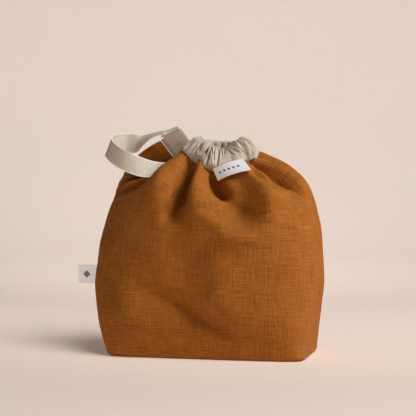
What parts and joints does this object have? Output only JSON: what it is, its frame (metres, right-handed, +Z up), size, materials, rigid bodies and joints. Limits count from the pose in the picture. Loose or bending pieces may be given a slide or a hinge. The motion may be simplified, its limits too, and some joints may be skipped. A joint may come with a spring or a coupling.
{
  "type": "drawstring project bag",
  "caption": "Boxed linen drawstring bag standing filled, with gathered shoulders, a contrast casing round the neck, a flat tape hand loop, a sewn label and a folded side tag.",
  "frame": {"origin": "on the underside of the base, beside the middle of the base seam", "axes": "+Z up from the surface the bag stands on, +X along the width towards the side without the hand loop, -Y towards the front with the label"},
  "size_m": [0.3241, 0.1641, 0.2888],
  "materials": {
    "rust_linen": "plain weave with slubs",
    "natural_linen": "plain weave, unbleached",
    "cotton_tape": "close flat tape weave",
    "white_cloth": "fine smooth label cloth"
  },
  "bodies": {
    "root": {"front_panel": "rust_linen", "back_panel": "rust_linen", "casing": "natural_linen", "tape": "cotton_tape", "label": "white_cloth", "side_tag": "white_cloth"}
  },
  "joints": []
}
